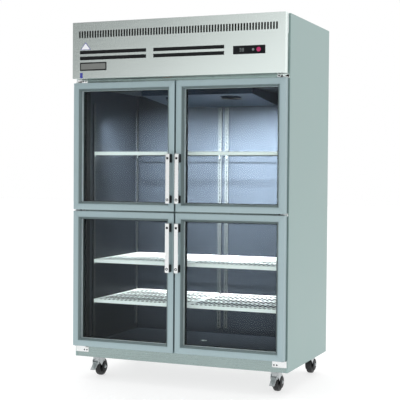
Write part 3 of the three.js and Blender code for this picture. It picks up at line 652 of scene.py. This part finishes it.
def shelf_clips():
    """A folded clip on each standard under every shelf corner."""
    clips = []
    for level_index in range(1, 5):
        for side, sign in SIDES.items():
            top = box_of(f"{side}_shelf_{level_index}")[2][1] - SHELF_THICK
            wall = hook(sign * (room_x - STANDARD_DEPTH - STANDARD_FACE), -sign, top)
            for y in (front_standard_y, rear_standard_y):
                clips.append(prism("y", wall, (y - 5, y + 5)))
            x = sign * STANDARD_WIDTH
            rear = room_back - STANDARD_DEPTH - STANDARD_FACE
            for y, into in ((rear, -1), (post_back + STANDARD_FACE, 1)):
                clips.append(prism("x", hook(y, into, top), (x - 5, x + 5)))
    make("shelf_clips", clips, zinc, "cabinet", bevel=0.4)


for side_name in SIDES:
    for number in range(1, 5):
        shelf(side_name, number)
shelf_clips()


# ---------------------------------------------------------------- hinges
HINGE_PLATE = 3.3
HINGE_SCREWS = (10, 26)  # from the plate's inner end


def hinge_screws():
    """Two dark screws through each hinge plate."""
    heads = []
    for side, sign in SIDES.items():
        for place in ("top", "centre", "bottom"):
            node = f"{side}_{place}_hinge"
            refinish(node, chrome, 0.7)
            xs, _, (low, high) = box_of(node)
            near = min(abs(x) for x in xs)
            front = face_y - HINGE_PLATE
            z = {"top": high - 8, "centre": (low + high) / 2, "bottom": low + 12}[place]
            for offset in HINGE_SCREWS:
                heads.append(pan_screw((sign * (near + offset), front, z), 4.4))
    make("hinge_screws", heads, screw_metal, "cabinet")


hinge_screws()

# ---------------------------------------------------------------- doors
# Sections of what runs round a door, from its outer front edge: (inward, depth). The profile has a
# fine groove beside the glazing bead, and a pocket behind the bead for the edge of the glass.
PROFILE = [(0, 5), (1.2, 1.6), (5, 0), (28, 0), (28.6, 0.9), (29.6, 0.9), (30.2, 0), (32.4, 0), (33, 0.6),
           (33, 16.7), (38.6, 16.7), (38.6, 38.4), (45, 38.4), (45, 42), (0, 42)]
MITRE_SEAM = 0.25
BEAD_SECTION = [(33.1, 0.8), (34.6, 0.8), (45, 15), (45, 16.6), (33.1, 16.6)]
TRIM_SECTION = [(45.2, 38.5), (48, 38.5), (49, 40), (48, 41.6), (45.2, 41.6)]
GASKET_SECTION = [(0, 0), (20, 0), (20, 1.6), (16.5, 3), (19, 4.6), (16.5, 6), (19, 7.2), (1, 7.2),
                  (3.5, 6), (1, 4.6), (3.5, 3), (0, 1.6)]
PANE = 4
SPACER_X = (1, 6.4)  # inward from the edge of the glass


def door_leaf(door):
    """Profiles, bead and trim round two panes held apart by a spacer, and the seal behind them."""
    frame_node = f"{door}_door_frame"
    xs, (front, _), zs = box_of(frame_node)
    body = f"{door}_door"
    lengths = mitred(PROFILE, xs, front, zs, MITRE_SEAM)
    make(f"{door}_door_profiles", [lengths], aluminium, body, [frame_node])
    bead = mitred(BEAD_SECTION, xs, front, zs)
    # The bead's darker aluminium is painted shade.
    make(f"{door}_door_glazing_bead", [bead], bead_painted_shade, body)
    trim = mitred(TRIM_SECTION, xs, front, zs)
    make(f"{door}_door_glazing_trim", [trim], rubber, body)
    glass_x, (pane_front, pane_back), glass_z = box_of(f"{door}_door_glass")
    panes = [
        block(glass_x, (pane_front, pane_front + PANE), glass_z),
        block(glass_x, (pane_back - PANE, pane_back), glass_z),
    ]
    make(f"{door}_door_panes", panes, glass, body, [f"{door}_door_glass"])
    depth = pane_back - pane_front - 2 * PANE
    bar = rectangle(SPACER_X, (0.1, depth - 0.1))
    spacer = mitred(bar, glass_x, pane_front + PANE, glass_z)
    make(f"{door}_door_spacer", [spacer], spacer_painted_light, body)
    seal_x, (seal_front, _), seal_z = box_of(f"{door}_door_gasket")
    seal = mitred(GASKET_SECTION, seal_x, seal_front, seal_z)
    make(f"{door}_door_seal", [seal], rubber, body, [f"{door}_door_gasket"])


HANDLE_SET_BACK = 1.2  # of the bar's face behind its fixings
HANDLE_BAR_BACK = 9
POST_LENGTHS = (43, 48)  # of the lower and the upper post
RING_RISE = 20
CAP_DROP = 25


def door_handle(door):
    """A polished flat bar on a dark post at each end, with a cap above and a ringed screw below."""
    node = f"{door}_door_handle"
    body = f"{door}_door"
    xs, (front, back), (bottom, top) = box_of(node)
    bar_front, bar_back = front + HANDLE_SET_BACK, front + HANDLE_BAR_BACK
    sections = []
    for z, ease in ((bottom, 1.2), (bottom + 3, 0), (top - 3, 0), (top, 1.2)):
        outline = rectangle((xs[0] + ease, xs[1] - ease), (bar_front + ease, bar_back), 3)
        sections.append([(x, y, z) for x, y in outline])
    make(f"{door}_handle_bar", [loft(sections)], chrome, body, [node])
    posts = []
    for zs in ((bottom + 2, bottom + POST_LENGTHS[0]), (top - POST_LENGTHS[1], top - 2)):
        outline = rectangle((xs[0] + 1.2, xs[1] - 1.2), zs, 4)
        posts.append(prism("y", outline, (bar_back + 0.1, back)))
    make(f"{door}_handle_posts", posts, black_plastic, body, bevel=0.8)
    middle = (xs[0] + xs[1]) / 2
    ring_z, cap_z = bottom + RING_RISE, top - CAP_DROP
    proud = (front + 0.3, bar_front + 0.2)
    cap = prism("y", rectangle((middle - 6, middle + 6), (cap_z - 6, cap_z + 6), 2), proud)
    ring = pipe("y", 7.5, 4.4, proud, (middle, 0, ring_z), 28)
    make(f"{door}_handle_fixings", [cap, ring], black_plastic, body)
    screw = pan_screw((middle, bar_front + 0.1, ring_z), 4.2, "y", -1, 1.1)
    make(f"{door}_handle_screw", [screw], chrome, body)


for door_name in DOORS:
    door_leaf(door_name)
    door_handle(door_name)

# ---------------------------------------------------------------- front panel
panel_x, (panel_front, _), (_, top_z) = box_of("front_panel")
LOUVRE_SPANS = ((-576, -169), (-126, 285))
LOUVRE_DROPS = ((157.5, 176.5), (190, 209.5))
VENT_DROP = (49, 87)
VENT_X = (-582, 580)
BADGE_X = -540.5
BADGE_HALF = 32.5
BADGE_DROP = (111, 153)
PLATE_X = (-575, -410)
PLATE_DROP = (223, 269)
STICKER_X = (-575, -559)
STICKER_DROP = (280, 310)
PIVOT_Y = face_y - 20


def below_top(drops):
    """The heights that lie these distances under the panel's top edge."""
    return [top_z - drop for drop in drops]


def louvre_shade_blades():
    """A blade set behind each long louvre slot over a baffle, both black as painted shade inside the slots.
    """
    shade_blades, shade_baffles = [], []
    for span in LOUVRE_SPANS:
        for upper, lower in LOUVRE_DROPS:
            near, far = panel_front + 2, panel_front + 8
            high, low = top_z - upper + 1, top_z - lower - 1
            outline = [(near, high), (near + 1, high), (far, low + 5), (far, low), (far - 1, low),
                       (far - 1, low + 4)]
            shade_blades.append(prism("x", outline, (span[0] - 3, span[1] + 3)))
        zs = (top_z - LOUVRE_DROPS[1][1] - 8, top_z - LOUVRE_DROPS[0][0] + 8)
        shade_baffles.append(block((span[0] - 10, span[1] + 10), (panel_front + 9, panel_front + 11), zs))
    make("louvre_shade_blades", shade_blades, black_paint, "front_panel")
    make("louvre_shade_baffles", shade_baffles, dark_mesh, "front_panel")


def vent_filter():
    """A flat dark filter pad behind the row of air slots."""
    high, low = below_top(VENT_DROP)
    zs = (low - 10, high + 10)
    y = panel_front + 3
    pad = block((VENT_X[0] - 10, VENT_X[1] + 10), (y, y + 4), zs)
    make("air_filter", [pad], dark_mesh, "front_panel", bevel=0.8)


def labels():
    """A plain white triangle with a blue border, a blank name plate and a small blue sticker."""
    y = panel_front
    high, low = below_top(BADGE_DROP)

    def triangle(inset):
        half = BADGE_HALF - inset * 1.5
        base = low + inset * 0.6
        return rounded([(BADGE_X - half, base), (BADGE_X + half, base), (BADGE_X, high - inset * 1.6)], 4)

    make("badge_border", [prism("y", triangle(0), (y - 0.5, y))], label_blue, "front_panel")
    make("badge_face", [prism("y", triangle(3.5), (y - 0.8, y))], label_white, "front_panel")
    plate_z = sorted(below_top(PLATE_DROP))
    border = prism("y", rectangle(PLATE_X, plate_z, 3), (y - 0.9, y))
    make("name_plate_border", [border], black_paint, "front_panel")
    inner = rectangle((PLATE_X[0] + 6, PLATE_X[1] - 6), (plate_z[0] + 7, plate_z[1] - 7), 2)
    make("name_plate_face", [prism("y", inner, (y - 1.3, y))], label_silver, "front_panel")
    sticker = rectangle(STICKER_X, below_top(STICKER_DROP), 1.5)
    make("sticker", [prism("y", sticker, (y - 0.3, y))], label_blue, "front_panel")


# Seven segments as (across, up) strokes of a digit one wide and two tall, and those each digit lights.
STROKES = {
    "a": ((0, 2), (1, 2)), "b": ((1, 1), (1, 2)), "c": ((1, 0), (1, 1)), "d": ((0, 0), (1, 0)),
    "e": ((0, 0), (0, 1)), "f": ((0, 1), (0, 2)), "g": ((0, 1), (1, 1)),
}
LIT = {"3": "abcdg", "8": "abcdefg"}
DIGIT = 7.5  # width of a digit, and half its height
STROKE_HALF = 0.8


def display():
    """The digits of the temperature display, and a rounded window round them."""
    (x0, x1), (front, _), (z0, z1) = box_of("controller")
    width = x1 - x0
    bottom = (z0 + z1) / 2 - DIGIT
    strokes = []
    for position, digit in enumerate("38"):
        left = x0 + width * 0.21 + position * DIGIT * 1.9
        for segment in LIT[digit]:
            (ua, va), (ub, vb) = STROKES[segment]
            xs = (left + ua * DIGIT - STROKE_HALF, left + ub * DIGIT + STROKE_HALF)
            zs = (bottom + va * DIGIT - STROKE_HALF, bottom + vb * DIGIT + STROKE_HALF)
            strokes.append(block(xs, (front - 0.25, front + 0.2), zs))
    make("display_digits", strokes, digit_grey, "front_panel")
    outline = rectangle((x0 + width * 0.12, x0 + width * 0.46), (z0 + 7, z1 - 7), 3)
    window = prism("y", outline, (front - 0.12, front + 0.2))
    make("display_window", [window], black_paint, "front_panel")


def panel_pivots():
    """The two pivots that carry the panel at its top corners."""
    pivots = []
    for side in SIDES.values():
        x = side * (panel_x[1] - SKIN)
        pivots.append(rod("x", 5, (x - side * 1, x - side * 9), (0, PIVOT_Y, top_z - 8), 16, 0.6))
    make("panel_pivots", pivots, zinc, "front_panel")


refinish("front_panel", panel_steel)
refinish("controller", black_plastic, 1.2)
refinish("power_button", red_cap, 1.1)
refinish("set_button", grey_cap, 0.8)
louvre_shade_blades()
vent_filter()
labels()
display()
panel_pivots()

# ---------------------------------------------------------------- casters
WHEEL_HALF = [(6, -17), (11, -17), (13, -14.5), (17, -12.4), (33, -12.4), (36, -15), (44, -15.4),
              (47.6, -14), (49.4, -10), (50, -5)]  # (radius, distance from the middle)
WHEEL_PROFILE = WHEEL_HALF + [(radius, -across) for radius, across in reversed(WHEEL_HALF)]
GUARD_DOME = [(33, 0), (33, 1.2), (30, 3), (20, 3.9), (9, 4)]
GUARD_OFFSET = 22.3  # of a thread guard's rim from the middle of the wheel
CASTER_TRAIL = 30  # of the swivel axis in front of the axle
PLATE_BOLTS = (38, 34)
PLATE_UNDERSIDE = 121
BALL_RACES = ((30, 112.5, 115), (30.5, 116.2, 119.2))  # outer radius, bottom and top


def caster(place):
    """A wheel in a zinc fork with thread guards and axle nuts, and the plate's bolts and ball races."""
    fork, wheel = f"{place}_caster_fork", f"{place}_caster_wheel"
    refinish(fork, zinc, 0.6)
    centre = [sum(span) / 2 for span in box_of(wheel)]
    x, y, z = centre
    tread = turned("x", WHEEL_PROFILE, centre, 48, True)
    make(f"{wheel}_tread", [tread], tyre, f"{place}_wheel", [wheel])
    guards, nuts = [], []
    for side in SIDES.values():
        rim = x + side * GUARD_OFFSET
        guards.append(turned("x", [(r, side * h) for r, h in GUARD_DOME], (rim, y, z), 32))
        nuts += hex_head((rim + side * 3.4, y, z), 13, "x", 5, side)
    make(f"{place}_thread_guards", guards, black_plastic, f"{place}_swivel")
    make(f"{place}_axle_nuts", nuts, zinc, f"{place}_swivel", bevel=0.3)
    swivel_y = y - CASTER_TRAIL
    bolts = []
    for dx in (-PLATE_BOLTS[0], PLATE_BOLTS[0]):
        for dy in (-PLATE_BOLTS[1], PLATE_BOLTS[1]):
            bolts += hex_head((x + dx, swivel_y + dy, PLATE_UNDERSIDE), 10, "z", 5, -1)
    make(f"{place}_plate_bolts", bolts, zinc, "cabinet", bevel=0.3)
    races = [pipe("z", outer, 22, (low, high), (x, swivel_y, 0), 32) for outer, low, high in BALL_RACES]
    make(f"{place}_ball_races", races, zinc, f"{place}_swivel")


for place_name in CASTERS:
    caster(place_name)
for side_name in SIDES:
    refinish(f"front_{side_name}_brake_pedal", zinc, 0.6)


# ---------------------------------------------------------------- machine compartment
PLENUM_X = (-345.6, 345.6)
PLENUM_Y = (-70.6, 370.6)
DECK_Z = (1688.2, 1689)
LID_Z = (1845.2, 1846)
WALL_Z = (1688, 1846)
WALL = 0.5
FIN_PITCH = 7
FIN = 0.6
COMPRESSOR_X = -480
COMPRESSOR_BOLTS = (90, 65)
COMPRESSOR_FEET_Z = 1707.5
LOW_LINE_Z = 1716
DISCHARGE_Z = (1790, 1938)
SUCTION_Z = 1780
GUARD_Z = 1590
GUARD_RADIUS = 60
GUARD_SHARES = (0.3, 0.48, 0.66, 0.84, 1.0)


def machine_deck():
    """Galvanised sheet over the foam, with a boxed lid over the evaporator plenum."""
    span = half_width - 2.2
    ys = (face_y + 26, back_y - 3)
    sheets = [
        block((-span, PLENUM_X[0]), ys, DECK_Z),
        block((PLENUM_X[1], span), ys, DECK_Z),
        block(PLENUM_X, (ys[0], PLENUM_Y[0]), DECK_Z),
        block(PLENUM_X, (PLENUM_Y[1], ys[1]), DECK_Z),
        block(PLENUM_X, PLENUM_Y, LID_Z),
    ]
    for x, inward in zip(PLENUM_X, (WALL, -WALL)):
        sheets.append(block((x, x + inward), PLENUM_Y, WALL_Z))
    for y, inward in zip(PLENUM_Y, (WALL, -WALL)):
        sheets.append(block(PLENUM_X, (y, y + inward), WALL_Z))
    make("machine_deck", sheets, galvanised, "cabinet")


def coil_dressing(node, name, rows, columns):
    """Fins across a coil's core and copper return bends at its two ends."""
    (x0, x1), (y0, y1), (z0, z1) = box_of(node)
    fins = []
    margin = 12
    for index in range(int((x1 - x0 - 2 * margin) / FIN_PITCH)):
        x = x0 + margin + index * FIN_PITCH
        fins.append(block((x, x + FIN), (y0 + FIN, y1 - FIN), (z0 + 8, z1 - 3)))
    make(f"{name}_fins", fins, fin_metal, "cabinet")
    bends = []
    step = (z1 - z0 - 40) / rows
    for side, x in ((-1, x0), (1, x1)):
        inner, outer = x - side * 2, x + side * 12
        for column in range(columns):
            y = y0 + (y1 - y0) * (column + 0.5) / columns
            for row in range(rows // 2):
                low = z0 + 24 + (2 * row + (side > 0)) * step
                high = low + step
                path = [(inner, y, low), (outer, y, low), (outer, y, high), (inner, y, high)]
                bends.append(tube(rounded(path, 11, False, 5), 4, 8))
    make(f"{name}_bends", bends, copper, "cabinet")


def line(name, path, bend, radius, sides, material):
    """A refrigerant tube along a path of corners, bent to one radius."""
    make(name, [tube(rounded(path, bend, False, 6), radius, sides)], material, "cabinet")


def refrigerant_lines():
    """Lines between the compressor, condenser, drier and evaporator plenum."""
    xs, ys, _ = box_of("compressor")
    x, y = sum(xs) / 2, sum(ys) / 2
    coil_x, coil_y, coil_z = box_of("condenser_coil")
    low, high = DISCHARGE_Z
    over = coil_x[0] + 20
    behind = coil_y[1] + 60
    discharge = [(x - 50, y - 70, low), (x - 50, behind, low), (over, behind, low), (over, behind, high),
                 (over, coil_y[0] + 25, high), (over, coil_y[0] + 25, coil_z[1] - 2)]
    line("discharge_line", discharge, 26, 4, 10, copper)
    suction = [(x + 60, y + 60, SUCTION_Z), (x + 60, 280, SUCTION_Z), (-380, 280, SUCTION_Z),
               (-344, 280, SUCTION_Z)]
    line("suction_line", suction, 30, 9, 12, rubber)
    beside, front = coil_x[1] + 26, coil_y[0] + 28
    liquid = [(coil_x[1] - 16, front, LOW_LINE_Z), (beside, front, LOW_LINE_Z),
              (beside, -120, LOW_LINE_Z), (beside, -69, LOW_LINE_Z)]
    line("liquid_line", liquid, 24, 3.2, 10, copper)
    profile = [(4, -62), (7, -56), (15, -46), (16, -42), (16, 10), (15, 14), (7, 24), (4, 30)]
    drier = turned("y", profile, (beside, -130, LOW_LINE_Z), 20)
    make("filter_drier", [drier], copper, "cabinet")


def compressor_details():
    """Bolts through the compressor's four feet, and the service stub on its dome."""
    refinish("compressor", black_paint)
    _, (y0, y1), (_, top) = box_of("compressor")
    y = (y0 + y1) / 2
    bolts = []
    for dx in (-COMPRESSOR_BOLTS[0], COMPRESSOR_BOLTS[0]):
        for dy in (-COMPRESSOR_BOLTS[1], COMPRESSOR_BOLTS[1]):
            bolts += hex_head((COMPRESSOR_X + dx, y + dy, COMPRESSOR_FEET_Z), 12, "z", 7, 1)
    make("compressor_bolts", bolts, zinc, "cabinet")
    stub = pipe("z", 7, 5, (top - 22, top - 1), (COMPRESSOR_X + 30, y - 24, 0), 16)
    make("service_stub", [stub], copper, "cabinet")


def control_box_details():
    """The control box's lid, and the screws in its top and front."""
    refinish("control_box", galvanised)
    (x0, x1), (y0, y1), (z0, z1) = box_of("control_box")
    screws = []
    for x in (x0 + 12, x1 - 12):
        for y in (y0 + 12, y1 - 24):
            screws.append(pan_screw((x, y, z1), 4, "z", 1, 1.8))
        for z in (z0 + 14, z1 - 14):
            screws.append(pan_screw((x, y0, z), 4, "y", -1, 1.8))
    make("control_box_screws", screws, zinc, "cabinet")
    lid = prism("z", rectangle((x0 + 3, x1 - 3), (y0 + 3, y1 - 15), 4), (z1, z1 + 0.8))
    make("control_box_lid", [lid], galvanised, "cabinet")


def fan_guard(name, x, y):
    """Rings and spokes of a wire guard lying under a fan."""
    wires = [tube(circle("z", GUARD_RADIUS * share, (x, y, GUARD_Z), 40), 1.1, 6, True)
             for share in GUARD_SHARES]
    for step in range(4):
        angle = math.pi / 4 + step * math.pi / 2
        ends = [(x + GUARD_RADIUS * share * math.cos(angle), y + GUARD_RADIUS * share * math.sin(angle),
                 GUARD_Z) for share in (GUARD_SHARES[0], GUARD_SHARES[-1])]
        wires.append(tube(ends, 1.5, 6))
    make(name, wires, black_paint, "cabinet")


def cooling():
    """Coils, shroud and fans keep their shapes; the condenser gets its fins, the evaporator fans their
    guards.
    """
    refinish("condenser_coil", fin_metal)
    refinish("condenser_shroud", galvanised)
    refinish("evaporator_coil", fin_metal)
    refinish("condenser_fan", black_plastic)
    coil_dressing("condenser_coil", "condenser", 10, 2)
    for side in SIDES:
        node = f"evaporator_fan_{side}"
        refinish(node, black_plastic)
        xs, ys, _ = box_of(node)
        fan_guard(f"evaporator_guard_{side}", sum(xs) / 2, sum(ys) / 2)


machine_deck()
refrigerant_lines()
compressor_details()
control_box_details()
cooling()


# ---------------------------------------------------------------- stage and light
FLOOR_REACH = 30
ROOM_LAMPS = {"left": 24, "right": 60}  # watts
ROOM_LIGHT = {"colour": (0.97, 0.98, 1), "mirrored": False, "spread": 95}
BAND_SLOPE = (-0.62, 0, 0.785)  # towards the upper left of whoever faces the doors
BAND_STOPS = ((0.295, 1.0), (0.372, 0.18), (0.56, 0.18), (0.68, 1.0))  # (position, grey)
BAND_AHEAD = (-0.3, -0.6)  # the band fades in over these values of a direction's Y
FLAG_AIM = (0.973, -0.23, 0)  # towards the right of the cabinet
FLAG_EDGE = (0.90, 0.96)
FLAG_GREY = (0.06, 0.06, 0.06, 1)
WHITE = (1, 1, 1, 1)


def lamp(name, energy, size, at, towards, colour=(1, 1, 1), mirrored=True, spread=180):
    """An area lamp aimed at a point, which polished surfaces may or may not mirror."""
    data = bpy.data.lights.new(name, "AREA")
    data.energy = energy
    data.color = colour
    data.shape = "RECTANGLE"
    data.spread = math.radians(spread)
    data.size, data.size_y = size
    light = bpy.data.objects.new(name, data)
    light.location = at
    light.rotation_euler = (Vector(towards) - Vector(at)).to_track_quat("-Z", "Y").to_euler()
    light.visible_glossy = mirrored
    scene.collection.objects.link(light)


def colour_mix(tree, factor, below, above):
    """A colour between two, each of them an output or a plain colour."""
    mix = tree.nodes.new("ShaderNodeMix")
    mix.data_type = "RGBA"
    connect(tree, factor, mix.inputs["Factor"])
    for socket, colour in (("A", below), ("B", above)):
        if isinstance(colour, tuple):
            mix.inputs[socket].default_value = colour
        else:
            connect(tree, colour, mix.inputs[socket])
    return mix.outputs["Result"]


def dot_with(tree, direction, aim):
    """How far a direction points along an aim, as the dot product of the two."""
    dot = tree.nodes.new("ShaderNodeVectorMath")
    dot.operation = "DOT_PRODUCT"
    dot.inputs[1].default_value = aim
    connect(tree, direction, dot.inputs[0])
    return dot.outputs["Value"]


def fade(tree, value, edge):
    """From 0 to 1 as a value goes from one end of an edge to the other."""
    ramp = tree.nodes.new("ShaderNodeMapRange")
    ramp.inputs["From Min"].default_value, ramp.inputs["From Max"].default_value = edge
    connect(tree, value, ramp.inputs["Value"])
    return ramp.outputs["Result"]


def sky():
    """White all round, with a dark band before the doors and a dark flag beside them, both unseen."""
    world = bpy.data.worlds.new("world")
    world.use_nodes = True
    scene.world = world
    tree = world.node_tree
    direction = tree.nodes.new("ShaderNodeTexCoord").outputs["Generated"]
    band = tree.nodes.new("ShaderNodeValToRGB")
    for position, grey in BAND_STOPS:
        band.color_ramp.elements.new(position).color = (grey, grey, grey, 1)
    band.color_ramp.elements[0].color = WHITE
    band.color_ramp.elements[-1].color = WHITE
    connect(tree, dot_with(tree, direction, BAND_SLOPE), band.inputs["Fac"])
    axes = tree.nodes.new("ShaderNodeSeparateXYZ")
    connect(tree, direction, axes.inputs["Vector"])
    ahead = fade(tree, axes.outputs["Y"], BAND_AHEAD)
    flag = fade(tree, dot_with(tree, direction, FLAG_AIM), FLAG_EDGE)
    seen = tree.nodes.new("ShaderNodeLightPath").outputs["Is Camera Ray"]
    banded = colour_mix(tree, ahead, WHITE, band.outputs["Color"])
    flagged = colour_mix(tree, flag, banded, FLAG_GREY)
    shown = colour_mix(tree, seen, flagged, WHITE)
    connect(tree, shown, tree.nodes["Background"].inputs["Color"])


def stage():
    """A pale floor under a white sky, soft lamps in front and above, and a lamp in each upper room."""
    mesh = bpy.data.meshes.new("floor")
    corners = rectangle((-FLOOR_REACH, FLOOR_REACH), (-FLOOR_REACH, FLOOR_REACH))
    mesh.from_pydata([(x, y, 0) for x, y in corners], [], [(0, 1, 2, 3)])
    paint = surface("floor_paint", (0.36, 0.36, 0.36), 0.7, 0.0, EVEN, 60, 0.01, 0.05, 0.02,
                    Emission_Color=WHITE, Emission_Strength=0.66)
    mesh.materials.append(paint)
    floor = bpy.data.objects.new("floor", mesh)
    scene.collection.objects.link(floor)
    sky()
    lamp("key", 34, (2.6, 2.2), (-0.6, -5.3, 2.7), (0, 0, 1.6), mirrored=False)
    lamp("overhead", 60, (5, 5), (0, 0.4, 5), (0, 0, 0))
    for side, energy in ROOM_LAMPS.items():
        x = SIDES[side] * 0.28
        lamp("room", energy, (0.45, 0.05), (x, -0.2, 1.5), (x, 0.33, 1.06), **ROOM_LIGHT)


stage()
